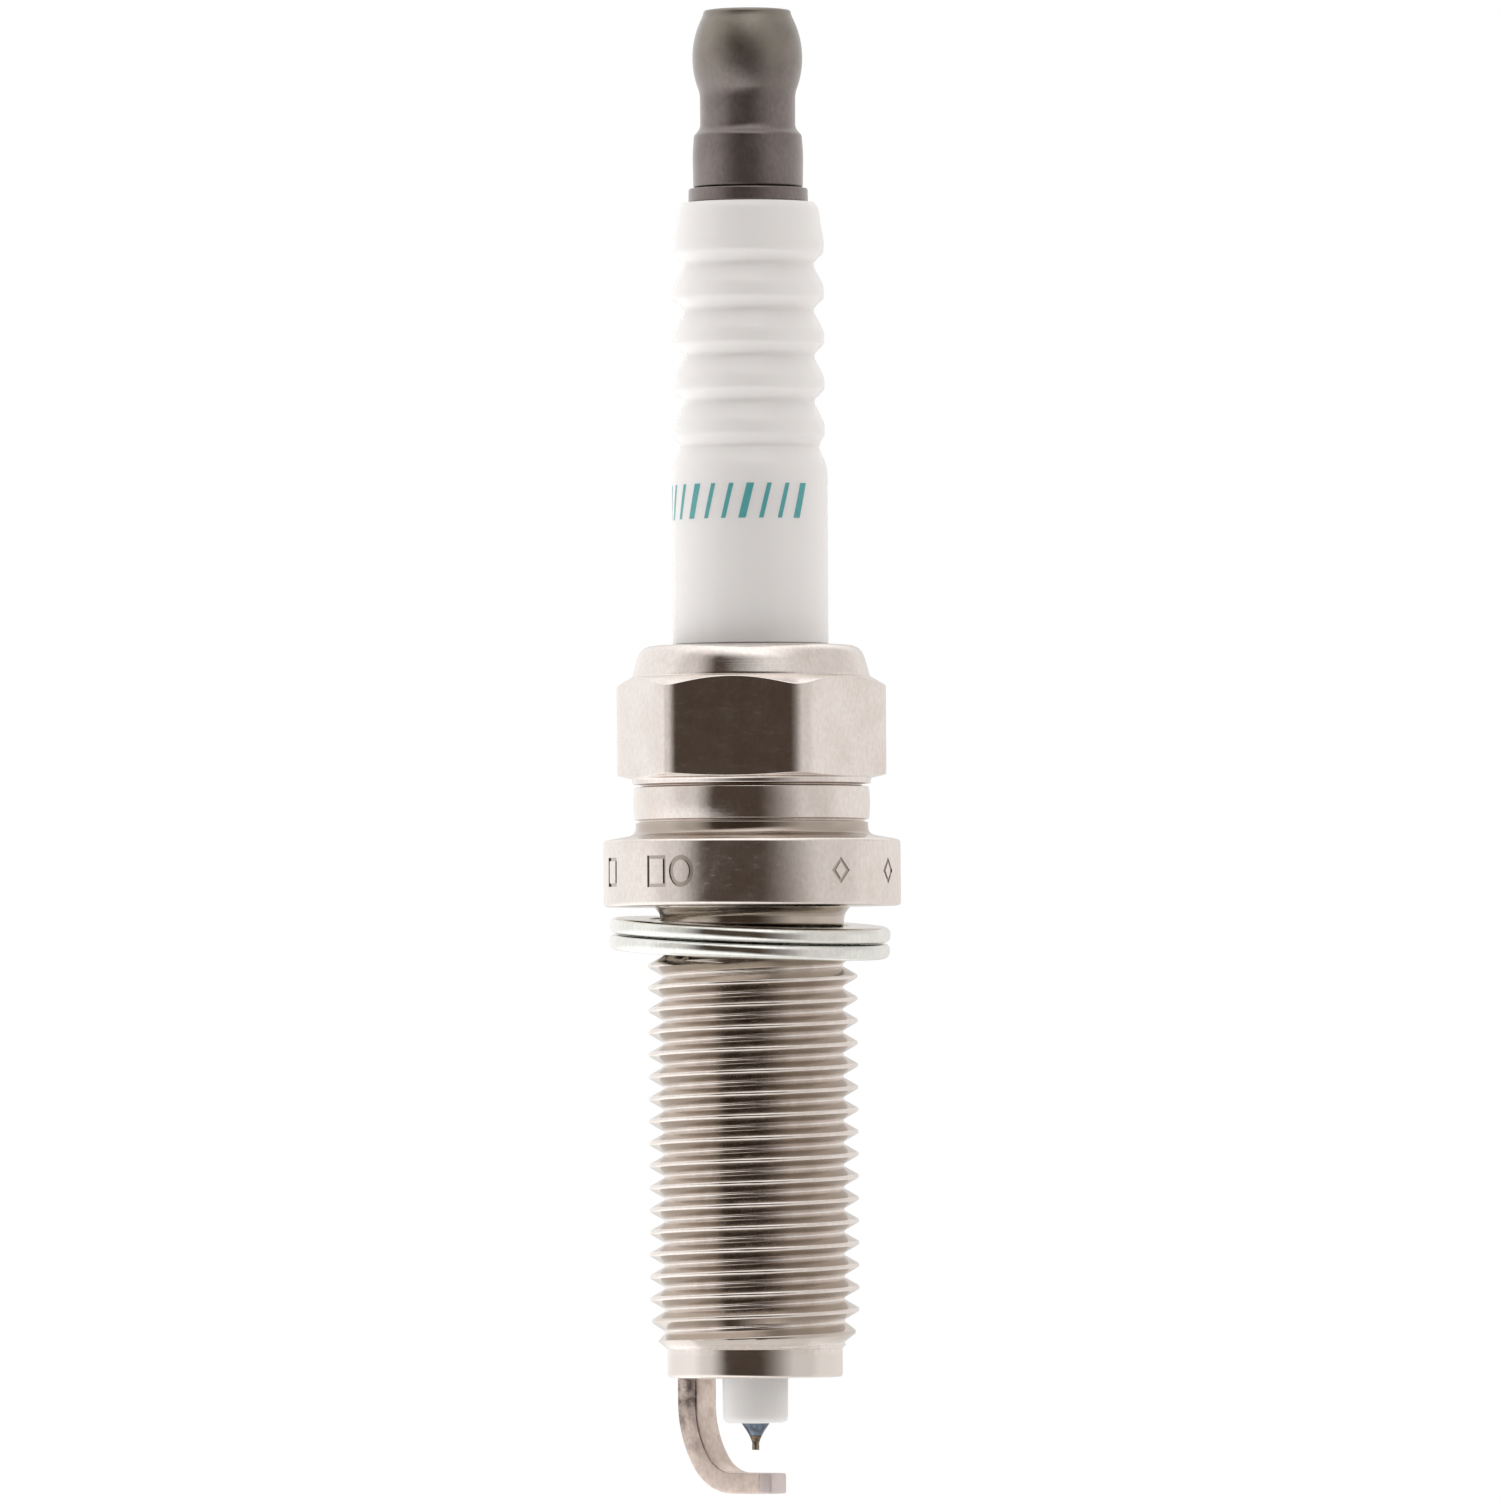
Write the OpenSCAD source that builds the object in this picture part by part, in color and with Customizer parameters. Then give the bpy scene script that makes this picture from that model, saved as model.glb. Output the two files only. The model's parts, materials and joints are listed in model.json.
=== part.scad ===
// Spark plug with an M12 x 1.25 thread, a 26.5 mm reach and a 14 mm spanner hexagon.
//
// Frame: millimetres. The origin is on the plug's axis, in the plane of the collar's
// underside, where the gasket seals. +Z points to the terminal, -Z to the spark gap,
// and -Y is square to one flat of the hexagon.
//
// Every round piece is a half outline, a list of [radius, z] points, turned about Z.

/* [Thread] */
// Outside diameter of the M12 thread
thread_d = 11.8; // [11.7:0.02:11.9]
// Depth of the thread, measured along a radius
thread_depth = 0.83; // [0.7:0.01:0.85]
// Distance from one turn to the next
thread_pitch = 1.25; // [1.25]
// From the gasket seat to the end of the shell
reach = 26.5; // [26:0.1:27]
// Diameter of the plain end below the thread
pilot_d = 9.86; // [9.7:0.02:10]
// Length of the plain end below the thread
pilot_h = 1.8; // [1.5:0.1:2]

/* [Shell] */
// Distance across the flats, for a 14 mm spanner
hex_af = 13.8; // [13.75:0.05:14]
// Diameter of the turned corners of the hexagon
hex_corner_d = 15.36; // [15.2:0.02:15.6]
// Lower end of the hexagon's flats
hex_low_z = 7.24; // [7.2:0.01:7.3]
// Upper end of the hexagon's flats
hex_high_z = 12.84; // [12.7:0.01:12.9]
// Diameter of the collar above the gasket
collar_d = 16.74; // [16.4:0.02:17]
// Height of the collar
collar_h = 3.85; // [3.6:0.05:3.9]
// Diameter of the band between the collar and the hexagon
band_d = 13.2; // [13:0.1:13.4]
// Top of the rolled lip that holds the insulator
lip_z = 14.75; // [14.7:0.05:15]

/* [Insulator] */
// Diameter of the plain barrel
barrel_d = 8.76; // [8.6:0.02:8.8]
// Top of the insulator
insulator_top_z = 39.65; // [39.5:0.05:39.7]
// Number of deep grooves between the ribs
groove_count = 4; // [3:1:4]
// Distance from one rib to the next
rib_pitch = 2.58; // [2.5:0.02:2.6]
// Diameter over the ribs
rib_d = 8.48; // [8.3:0.02:8.6]
// Diameter at the bottom of the grooves
groove_d = 7.36; // [7.2:0.02:7.8]
// Diameter at the end of the nose
nose_d = 3.6; // [3.4:0.05:3.8]
// How far the nose stands out of the shell
nose_out = 2.58; // [2.4:0.02:2.7]

/* [Terminal] */
// Height of the terminal's top above the gasket seat
terminal_top_z = 50.6; // [50.4:0.05:51]
// Diameter of the terminal's head and foot
terminal_d = 6.2; // [6.1:0.05:6.3]
// Diameter of the terminal's waist
waist_d = 5.4; // [5.2:0.05:5.5]
// Diameter of the stud's flange under the terminal nut
flange_d = 6.75; // [6.6:0.05:7]
// Radial clearance of the nut on the stud
nut_clearance = 0.05; // [0.02:0.01:0.09]

/* [Electrodes] */
// Diameter of the centre electrode
electrode_d = 1.58; // [1.5:0.02:1.6]
// Diameter of the iridium tip
tip_d = 0.4; // [0.4:0.05:0.5]
// Height of the spark gap
spark_gap = 1.3; // [0.8:0.05:1.3]
// Lowest point of the iridium tip
tip_z = -30.6; // [-30.6:0.05:-30.5]
// Width of the ground electrode
strap_w = 1.85; // [1.7:0.05:2]
// Thickness of the ground electrode
strap_t = 1.15; // [1:0.05:1.2]
// Direction of the ground electrode's root about the axis
strap_angle = 150; // [0:1:359]

/* [Gasket] */
// Outside diameter of the gasket
gasket_d = 15.82; // [15.6:0.02:16]
// Inside diameter of the gasket
gasket_hole_d = 11.4; // [11.3:0.02:11.5]
// Thickness of the uncrushed gasket
gasket_h = 1.8; // [1.7:0.05:1.85]
// Height of the loose gasket's middle
gasket_z = -1.8; // [-1.85:0.01:-1.7]
// Tilt of the loose gasket
gasket_tilt = 3.5; // [3:0.1:4.2]
// Direction of the tilted gasket's lowest side
gasket_low_angle = 322; // [0:1:359]

/* [Hidden] */
$fn = 96;

steel = [0.80, 0.77, 0.74];
dark_steel = [0.42, 0.39, 0.36];
zinc = [0.80, 0.84, 0.83];
porcelain = [0.97, 0.96, 0.94];
glass = [0.25, 0.28, 0.30];
carbon = [0.20, 0.20, 0.21];
copper = [0.80, 0.45, 0.30];
nickel = [0.60, 0.56, 0.50];
iridium = [0.85, 0.85, 0.86];
talc = [0.88, 0.88, 0.84];

// Thread: 60 degree flanks, and a flat on each crest an eighth of the pitch wide
thread_r = thread_d / 2;
root_r = thread_r - thread_depth;
crest_half = thread_pitch / 16;
flank_h = thread_depth * tan(30);
first_crest_z = -3.95;
pilot_top_z = -(reach - pilot_h);
crest_count = floor((first_crest_z - crest_half - flank_h - pilot_top_z) / thread_pitch) + 1;

// Shell
neck_r = 5.16;
neck_h = 0.9;
neck_flare = 0.35;
neck_end_z = -1.3;
edge = 0.18;
seat_r = collar_d / 2 - 0.22;
band_r = band_d / 2;
band_bulge = 0.08;
band_low_z = 4.85;
band_high_z = 6.8;
shoulder_r = 6.75;
shoulder_z = 12.97;
hex_chamfer = 30;
hex_low_chamfer = 11;
hex_r = hex_af / 2 / cos(30);
lip_under_z = 14.12;
packing_r = 5.3;
packing_low_z = 3.9;
body_bore_r = 3.85;
body_bore_z = 2.6;
ledge_r = 3.1;
ledge_z = -9.08;
ledge_h = 1.9;
ledge_slope = 30;
chamber_r = 3.5;

// Insulator
barrel_r = barrel_d / 2;
barrel_draft = 0.02;
top_rib_z = 37.4;
top_groove_z = 36.15;
last_groove_z = 25.9;
last_groove_r = 3.92;
barrel_top_z = 24.6;
insulator_body_r = 3.72;
insulator_fat_r = 5.22;
insulator_fat_top_z = 9.6;
bore_r = 1.9;
head_seat_z = -7.1;
nose_z = -(reach + nose_out);
nose_bore_r = 0.85;
nose_root_r = 2.95;
washer_h = 0.25;
play = 0.01;

// Packing between the insulator's shoulder and the lip
wire_r = 0.44;
wire_ring_r = (barrel_r + packing_r) / 2;
lower_wire_z = insulator_fat_top_z + wire_r + play;
upper_wire_z = lip_under_z - wire_r - play;

// Terminal
flange_z = 40.45;
nut_low_z = flange_z + 0.05;
stem_r = 1.95;
stem_top_z = 48.9;
head_mid_z = 47.83;
head_curve = 6.05;
waist_top_z = head_mid_z - sqrt(pow(head_curve, 2)
    - pow(head_curve - (terminal_d - waist_d) / 2, 2));
foot_top_z = 43.4;
shank_r = 1.65;
knurl_r = 1.72;
knurl_z = 11;
stud_low_z = 8;

// Seals and resistor
upper_glass_z = 10.5;
resistor_top_z = 5.5;
resistor_low_z = -3.5;

// Centre electrode
electrode_r = electrode_d / 2;
head_r = 1.3;
head_top_z = -5.6;
core_r = 0.42;
core_top_z = -6.2;
core_low_z = -26;
cone_r = 0.365;
cone_z = -29.78;
weld_z = -30.16;
weld_r = 0.235;
tip_root_z = -29.9;

// Ground electrode: a leg, a wide bend, a tight bend and a foot under the tip
strap_r = 4.88;
foot_z = tip_z - spark_gap - strap_t;
wide_bend = 6.5;
wide_angle = 35;
tight_bend = 3.2;
tight_x = strap_r - wide_bend + (wide_bend - tight_bend) * cos(wide_angle);
tight_z = foot_z + tight_bend;
wide_z = tight_z + (wide_bend - tight_bend) * sin(wide_angle);
foot_end = 1.78;
foot_taper = 0.75;
foot_end_w = 1.25;
lap = 0.2;

// Gasket
gasket_shift = 0.15;
gasket_shift_angle = 188;
slit_h = 0.08;
slit_web = 0.5;
fold_r = 0.38;

module turned(points) {
    rotate_extrude() polygon(points);
}

// One groove: a steep upper side, a narrow bottom and a long slope out to the next rib
function groove(z) = [
    [rib_d / 2, z + 0.73],
    [rib_d / 2 - 0.08, z + 0.6],
    [groove_d / 2 + 0.07, z + 0.2],
    [groove_d / 2, z + 0.05],
    [groove_d / 2, z - 0.05],
    [groove_d / 2 + 0.07, z - 0.25],
    [rib_d / 2 - 0.06, z - 1.05],
    [rib_d / 2, z - 1.3]
];

// One turn of the thread, from its upper flank to its lower one
function crest(z) = [
    [root_r, z + crest_half + flank_h],
    [thread_r, z + crest_half],
    [thread_r, z - crest_half],
    [root_r, z - crest_half - flank_h]
];

module shell_outline() {
    polygon([
        [0, lip_z],
        [5.3, lip_z - 0.05],
        [5.75, lip_z - 0.2],
        [6.1, lip_z - 0.45],
        [6.4, lip_z - 0.9],
        [shoulder_r, shoulder_z],
        [band_r, hex_high_z - 0.2],
        [band_r, band_high_z],
        [band_r + band_bulge, (band_low_z + band_high_z) / 2],
        [band_r, band_low_z],
        [band_r + 0.3, band_low_z - 0.45],
        [band_r + 0.7, band_low_z - 0.78],
        [band_r + 1.3, collar_h + 0.03],
        [collar_d / 2 - edge, collar_h],
        [collar_d / 2, collar_h - edge],
        [collar_d / 2, collar_d / 2 - seat_r],
        [seat_r, 0],
        [neck_r + neck_flare, 0],
        [neck_r + 0.08, -0.25],
        [neck_r, -0.45],
        [neck_r, -neck_h],
        [root_r, neck_end_z],
        for (i = [0 : crest_count - 1]) each crest(first_crest_z - i * thread_pitch),
        [root_r, pilot_top_z + 0.1],
        [pilot_d / 2, pilot_top_z],
        [pilot_d / 2, -reach + edge],
        [pilot_d / 2 - edge, -reach],
        [0, -reach]
    ]);
}

module shell_bore() {
    turned([
        [0, lip_z + 1],
        [barrel_r + 0.07, lip_z + 1],
        [barrel_r + 0.07, lip_under_z],
        [packing_r, lip_under_z],
        [packing_r, packing_low_z],
        [body_bore_r, body_bore_z],
        [body_bore_r, ledge_z + (body_bore_r - ledge_r) * tan(ledge_slope)],
        [ledge_r, ledge_z],
        [ledge_r, ledge_z - ledge_h],
        [chamber_r, ledge_z - ledge_h - 0.5],
        [chamber_r, -reach - 1],
        [0, -reach - 1]
    ]);
}

// The turned blank cuts the hexagon's corners and chamfers both its ends
module hexagon() {
    corner_r = hex_corner_d / 2;
    corner_depth = corner_r - hex_af / 2;
    ledge_depth = hex_af / 2 - band_r + 0.1;
    intersection() {
        translate([0, 0, hex_low_z - 1])
            linear_extrude(hex_high_z - hex_low_z + 2)
                circle(r = hex_r, $fn = 6);
        turned([
            [0, hex_high_z + ledge_depth * tan(hex_chamfer)],
            [band_r - 0.1, hex_high_z + ledge_depth * tan(hex_chamfer)],
            [corner_r, hex_high_z - corner_depth * tan(hex_chamfer)],
            [corner_r, hex_low_z + corner_depth * tan(hex_low_chamfer)],
            [band_r - 0.1, hex_low_z - ledge_depth * tan(hex_low_chamfer)],
            [0, hex_low_z - ledge_depth * tan(hex_low_chamfer)]
        ]);
    }
}

module shell() {
    color(steel)
        difference() {
            union() {
                rotate_extrude() shell_outline();
                hexagon();
            }
            shell_bore();
        }
}

// A strip folded once: two round-edged rings that meet at the hole
module gasket() {
    half = (gasket_h - slit_h) / 4;
    out_r = gasket_d / 2;
    in_r = gasket_hole_d / 2;
    color(zinc)
        rotate([0, 0, gasket_shift_angle]) translate([gasket_shift, 0, gasket_z])
            rotate([0, 0, gasket_low_angle - gasket_shift_angle]) rotate([0, gasket_tilt, 0])
                rotate_extrude()
                    difference() {
                        union() {
                            for (side = [-1, 1]) translate([0, side * (half + slit_h / 2)]) {
                                translate([in_r, -half]) square([out_r - fold_r - in_r, 2 * half]);
                                translate([out_r - 2 * fold_r, -half + 0.05])
                                    square([fold_r, 2 * half - 0.1]);
                                translate([out_r - fold_r, 0]) circle(r = fold_r);
                            }
                            translate([in_r, -half]) square([slit_web, 2 * half]);
                        }
                        translate([in_r + slit_web, -slit_h / 2])
                            square([out_r, slit_h]);
                    }
}

module insulator() {
    color(porcelain)
        difference() {
            rotate_extrude() polygon([
                [0, insulator_top_z],
                [groove_d / 2, insulator_top_z],
                [groove_d / 2 + 0.1, insulator_top_z - 0.1],
                [rib_d / 2 - 0.28, insulator_top_z - 0.35],
                [rib_d / 2, top_rib_z],
                for (i = [0 : groove_count - 1]) each groove(top_groove_z - i * rib_pitch),
                [rib_d / 2, last_groove_z + 0.65],
                [last_groove_r, last_groove_z + 0.1],
                [last_groove_r, last_groove_z - 0.1],
                [barrel_r - 0.03, barrel_top_z + 0.25],
                [barrel_r, barrel_top_z],
                [barrel_r, lip_z + 0.1],
                [barrel_r - barrel_draft, insulator_fat_top_z],
                [insulator_fat_r, insulator_fat_top_z],
                [insulator_fat_r, packing_low_z + 0.12],
                [insulator_body_r, body_bore_z + 0.15],
                [insulator_body_r, shoulder_seat_z(insulator_body_r)],
                [ledge_r, shoulder_seat_z(ledge_r)],
                [nose_root_r, ledge_z - 0.1],
                [nose_d / 2 + 0.04, -reach],
                [nose_d / 2, nose_z + 0.3],
                [nose_d / 2 - 0.09, nose_z + 0.09],
                [nose_d / 2 - 0.3, nose_z],
                [0, nose_z]
            ]);
            turned([
                [0, insulator_top_z + 1],
                [bore_r, insulator_top_z + 1],
                [bore_r, head_seat_z],
                [nose_bore_r, head_seat_z - 0.8],
                [nose_bore_r, nose_z - 1],
                [0, nose_z - 1]
            ]);
        }
}

// Height of the insulator's lower shoulder, which rests on the seat washer
function shoulder_seat_z(r) =
    ledge_z + washer_h + 2 * play + (r - ledge_r) * tan(ledge_slope);

module seat_washer() {
    in_r = ledge_r + 0.02;
    out_r = insulator_body_r;
    rise = (out_r - in_r) * tan(ledge_slope);
    low_z = ledge_z + play + (in_r - ledge_r) * tan(ledge_slope);
    color(copper)
        turned([
            [in_r, low_z],
            [out_r, low_z + rise],
            [out_r, low_z + rise + washer_h],
            [in_r, low_z + washer_h]
        ]);
}

module wire_ring(z) {
    color(steel)
        rotate_extrude() translate([wire_ring_r, z]) circle(r = wire_r);
}

module upper_packing_ring() {
    wire_ring(upper_wire_z);
}

module lower_packing_ring() {
    wire_ring(lower_wire_z);
}

module talc_filling() {
    low_z = lower_wire_z + wire_r + play;
    high_z = upper_wire_z - wire_r - play;
    color(talc)
        turned([
            [barrel_r + play, low_z],
            [packing_r - play, low_z],
            [packing_r - play, high_z],
            [barrel_r + play, high_z]
        ]);
}

module terminal_stud() {
    color(dark_steel)
        turned([
            [0, stem_top_z],
            [stem_r - 0.4, stem_top_z],
            [stem_r, stem_top_z - 0.4],
            [stem_r, flange_z],
            [flange_d / 2 - 0.1, flange_z],
            [flange_d / 2, flange_z - 0.1],
            [flange_d / 2, insulator_top_z + 0.1],
            [flange_d / 2 - 0.1, insulator_top_z],
            [shank_r, insulator_top_z],
            [shank_r, knurl_z],
            [knurl_r, knurl_z - 0.1],
            [knurl_r, stud_low_z + 0.3],
            [knurl_r - 0.3, stud_low_z],
            [0, stud_low_z]
        ]);
}

// The head's side is one wide arc, down to the waist that a cap's clip snaps round
module terminal_nut() {
    head_r = terminal_d / 2;
    bore = stem_r + nut_clearance;
    color(dark_steel)
        difference() {
            union() {
                rotate_extrude() intersection() {
                    translate([head_r - head_curve, head_mid_z])
                        circle(r = head_curve, $fn = 256);
                    translate([0, waist_top_z])
                        square([head_r, terminal_top_z - 0.15 - waist_top_z]);
                }
                turned([
                    [0, terminal_top_z],
                    [head_r - 1.1, terminal_top_z - 0.03],
                    [head_r - 0.65, terminal_top_z - 0.15],
                    [0, terminal_top_z - 0.2]
                ]);
                turned([
                    [0, waist_top_z],
                    [waist_d / 2, waist_top_z],
                    [waist_d / 2, foot_top_z + 0.35],
                    [head_r - 0.08, foot_top_z],
                    [head_r, foot_top_z - 0.15],
                    [head_r, nut_low_z + 0.12],
                    [head_r - 0.12, nut_low_z],
                    [0, nut_low_z]
                ]);
            }
            turned([
                [0, nut_low_z - 1],
                [bore, nut_low_z - 1],
                [bore, stem_top_z + 0.2],
                [bore - 0.5, stem_top_z + 0.4],
                [0, stem_top_z + 0.4]
            ]);
        }
}

module upper_glass_seal() {
    color(glass)
        difference() {
            turned([
                [0, upper_glass_z],
                [bore_r, upper_glass_z],
                [bore_r, resistor_top_z],
                [0, resistor_top_z]
            ]);
            turned([
                [0, upper_glass_z + 1],
                [knurl_r, upper_glass_z + 1],
                [knurl_r, stud_low_z + 0.3],
                [knurl_r - 0.3, stud_low_z],
                [0, stud_low_z]
            ]);
        }
}

module resistor() {
    color(carbon)
        turned([
            [0, resistor_top_z],
            [bore_r, resistor_top_z],
            [bore_r, resistor_low_z],
            [0, resistor_low_z]
        ]);
}

// The glass fills the bore from the resistor down to the electrode's head and its seat
module lower_glass_seal() {
    color(glass)
        turned([
            [0, resistor_low_z],
            [bore_r, resistor_low_z],
            [bore_r, head_seat_z],
            [head_r, head_seat_z - (bore_r - head_r) * 0.8 / (bore_r - nose_bore_r)],
            [head_r, head_top_z],
            [0, head_top_z]
        ]);
}

module centre_electrode() {
    seat_z = head_seat_z - (bore_r - head_r) * 0.8 / (bore_r - nose_bore_r);
    color(nickel)
        difference() {
            turned([
                [0, head_top_z],
                [head_r, head_top_z],
                [head_r, seat_z],
                [electrode_r, head_seat_z - 0.85],
                [electrode_r, nose_z - 0.04],
                [0.62, nose_z - 0.28],
                [0.47, nose_z - 0.5],
                [cone_r, cone_z],
                [0, cone_z]
            ]);
            translate([0, 0, core_low_z]) cylinder(r = core_r, h = core_top_z - core_low_z);
        }
}

module electrode_core() {
    color(copper)
        translate([0, 0, core_low_z]) cylinder(r = core_r, h = core_top_z - core_low_z);
}

// The laser's melt ring, which holds the iridium tip in the end of the electrode
module tip_weld() {
    color(nickel)
        difference() {
            turned([
                [0, cone_z],
                [cone_r, cone_z],
                [0.28, cone_z - 0.18],
                [weld_r, weld_z + 0.05],
                [weld_r - 0.02, weld_z],
                [0, weld_z]
            ]);
            translate([0, 0, tip_z - 1]) cylinder(r = tip_d / 2, h = tip_root_z - tip_z + 1);
        }
}

module iridium_tip() {
    color(iridium)
        translate([0, 0, tip_z]) cylinder(r = tip_d / 2, h = tip_root_z - tip_z);
}

// A slice of a bend in the strap, between two angles below the horizontal. The slices
// lap over each other by a small angle, so that they join.
module bend(outer_r, from_angle, to_angle) {
    far = 3 * outer_r;
    intersection() {
        difference() {
            circle(r = outer_r);
            circle(r = outer_r - strap_t);
        }
        polygon([
            [0, 0],
            [far * cos(from_angle), -far * sin(from_angle)],
            [far * cos(to_angle), -far * sin(to_angle)]
        ]);
    }
}

module strap_outline() {
    translate([strap_r - strap_t, wide_z]) square([strap_t, -reach - wide_z]);
    translate([strap_r - wide_bend, wide_z]) bend(wide_bend, -lap, wide_angle + lap);
    translate([tight_x, tight_z]) bend(tight_bend, wide_angle, 90 + lap);
    translate([-foot_end, foot_z]) square([foot_end + tight_x, strap_t]);
}

// Seen from below, the foot narrows towards its end
module strap_plan() {
    polygon([
        [strap_r + 1, -strap_w / 2],
        [strap_r + 1, strap_w / 2],
        [-foot_end + foot_taper, strap_w / 2],
        [-foot_end, foot_end_w / 2],
        [-foot_end, -foot_end_w / 2],
        [-foot_end + foot_taper, -strap_w / 2]
    ]);
}

module ground_electrode() {
    color(nickel)
        rotate([0, 0, strap_angle])
            intersection() {
                rotate([90, 0, 0]) linear_extrude(2 * strap_w, center = true) strap_outline();
                translate([0, 0, foot_z - 1])
                    linear_extrude(-reach - foot_z + 1) strap_plan();
            }
}

shell();
gasket();
insulator();
terminal_stud();
terminal_nut();
upper_glass_seal();
resistor();
lower_glass_seal();
centre_electrode();
electrode_core();
tip_weld();
iridium_tip();
ground_electrode();
upper_packing_ring();
talc_filling();
lower_packing_ring();
seat_washer();
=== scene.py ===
"""A motorcycle spark plug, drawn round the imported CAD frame.

Lengths in the outlines are millimetres, heights are above the gasket seat, and every
mesh is turned into metres when it is built.
"""
import json
import math

import bmesh
import bpy
from mathutils import Matrix, Vector, noise


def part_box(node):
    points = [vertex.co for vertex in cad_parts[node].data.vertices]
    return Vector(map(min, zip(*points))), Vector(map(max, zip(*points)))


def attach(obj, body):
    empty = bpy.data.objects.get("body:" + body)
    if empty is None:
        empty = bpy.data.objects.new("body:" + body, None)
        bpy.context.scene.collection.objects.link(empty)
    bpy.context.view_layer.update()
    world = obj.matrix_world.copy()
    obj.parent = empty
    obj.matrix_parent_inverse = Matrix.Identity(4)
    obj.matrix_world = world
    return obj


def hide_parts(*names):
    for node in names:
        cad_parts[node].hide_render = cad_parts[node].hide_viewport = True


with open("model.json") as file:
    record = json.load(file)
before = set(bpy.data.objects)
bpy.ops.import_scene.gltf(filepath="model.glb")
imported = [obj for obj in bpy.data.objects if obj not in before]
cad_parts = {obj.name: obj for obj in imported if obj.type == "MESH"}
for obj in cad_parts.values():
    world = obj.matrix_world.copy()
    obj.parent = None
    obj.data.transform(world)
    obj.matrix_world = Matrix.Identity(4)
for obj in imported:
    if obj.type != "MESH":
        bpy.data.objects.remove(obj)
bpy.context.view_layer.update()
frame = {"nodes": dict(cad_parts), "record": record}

MM = 0.001
mounts = {mount["name"]: mount for mount in frame["record"]["mounts"]}


def edge(node, end, axis):
    """Where a CAD node begins (end 0) or stops (end 1) along an axis, in mm."""
    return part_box(node)[end]["xyz".index(axis)] / MM


# ---------------------------------------------------------------- driving dimensions
COLUMNS = 192

THREAD_R = mounts["shell_thread"]["dims"]["r_mm"]
THREAD_DEPTH = 0.83
PITCH = 1.25
CREST_HALF = PITCH / 16
CREST_ROUND = 0.076
ROOT_ROUND = 0.066
ROOT_R = THREAD_R - THREAD_DEPTH
SHELL_END_Z = edge("shell", 0, "z")
PILOT_R = 4.93
NECK_R = 5.16
CREST_Z_AT_X = -4.0
RUN_IN_Z = (-2.75, -2.45)
RUN_OUT_Z = -24.9

HEX_FLAT_R = -mounts["spanner_flat"]["pos_m"][1] / MM
HEX_CORNER_R = 7.68
HEX_CORNER_BLEND = 8
HEX_TOP_SLOPE = math.radians(32)
HEX_LOW_SLOPE = math.radians(11)
HEX_LOW_Z = 7.24
HEX_HIGH_Z = 12.84
BAND_R = 6.6
SHOULDER_R = 6.75
COLLAR_R = 8.37
COLLAR_TOP_Z = 3.85
LIP_Z = edge("shell", 1, "z")

LIP_BORE_R = 4.46
TALC_BORE_R = 5.3
TALC_TOP_Z = 14.12
BODY_BORE_R = 3.85
LEDGE_BORE_R = 3.1
CHAMBER_R = 3.5

STAMP_Z = 1.92
STAMP_STROKE = 0.27
STAMP_DEPTH = 0.08

BARREL_R = mounts["insulator_barrel"]["dims"]["r_mm"]
RIB_R = 4.24
GROOVE_R = 3.68
RIB_PITCH = 2.58
TOP_GROOVE_Z = 36.15
GROOVES = 4
CERAMIC_TOP_Z = edge("insulator", 1, "z")
SHOULDER_BODY_R = 5.22
LOWER_BODY_R = 3.72
STUD_BORE_R = 1.9
ELECTRODE_BORE_R = 0.85
NOSE_Z = edge("insulator", 0, "z")
NOSE_R = 1.8

PRINT_Z = 22.73
PRINT_BARS = 10
PRINT_HALF_H = 0.98
PRINT_LEAN = 0.25

TERMINAL_R = mounts["terminal"]["dims"]["r_mm"]
TERMINAL_TOP_Z = edge("terminal_nut", 1, "z")
NUT_LOW_Z = edge("terminal_nut", 0, "z")
STEM_R = 1.95
STEM_PITCH = 0.7
STEM_TOP_Z = edge("terminal_stud", 1, "z")
STUD_LOW_Z = edge("terminal_stud", 0, "z")

TIP_Z = edge("iridium_tip", 0, "z")
TIP_R = 0.2
ELECTRODE_R = 0.79
STRAP_LOW_Z = edge("ground_electrode", 0, "z")
STRAP_WIDTH = 1.85
STRAP_THICK = 1.15
STRAP_ROOT_THICK = 1.36
STRAP_R = 4.89
STRAP_FOOT_X = 1.65
STRAP_ANGLE = math.radians(151)

GASKET_R = 7.91
GASKET_HOLE_R = 5.7
GASKET_HALF_H = 0.9
GASKET_Z = -1.8
GASKET_TILT = math.radians(3.5)
GASKET_LOW_ANGLE = math.radians(322)
GASKET_SHIFT = 0.15
GASKET_SHIFT_ANGLE = math.radians(188)

CAMERA_AZIMUTH = math.radians(9.3)
CAMERA_RIGHT = Vector((math.cos(CAMERA_AZIMUTH), math.sin(CAMERA_AZIMUTH), 0))
CAMERA_TOWARD = Vector((math.sin(CAMERA_AZIMUTH), -math.cos(CAMERA_AZIMUTH), 0))
FRONT_ANGLE = CAMERA_AZIMUTH - math.pi / 2
CAMERA_DISTANCE = 900
CAMERA_Z = -10
VIEW_Z = 8.8
VIEW_HEIGHT = 84.5
VIEW_SIDE = -0.085
ROLL = math.radians(-0.35)

FLOOR_R = 900
FLOOR_Z = -1100


# ---------------------------------------------------------------- outlines and meshes
def reach_of(corner):
    return corner[2] if len(corner) > 2 else 0


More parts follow.
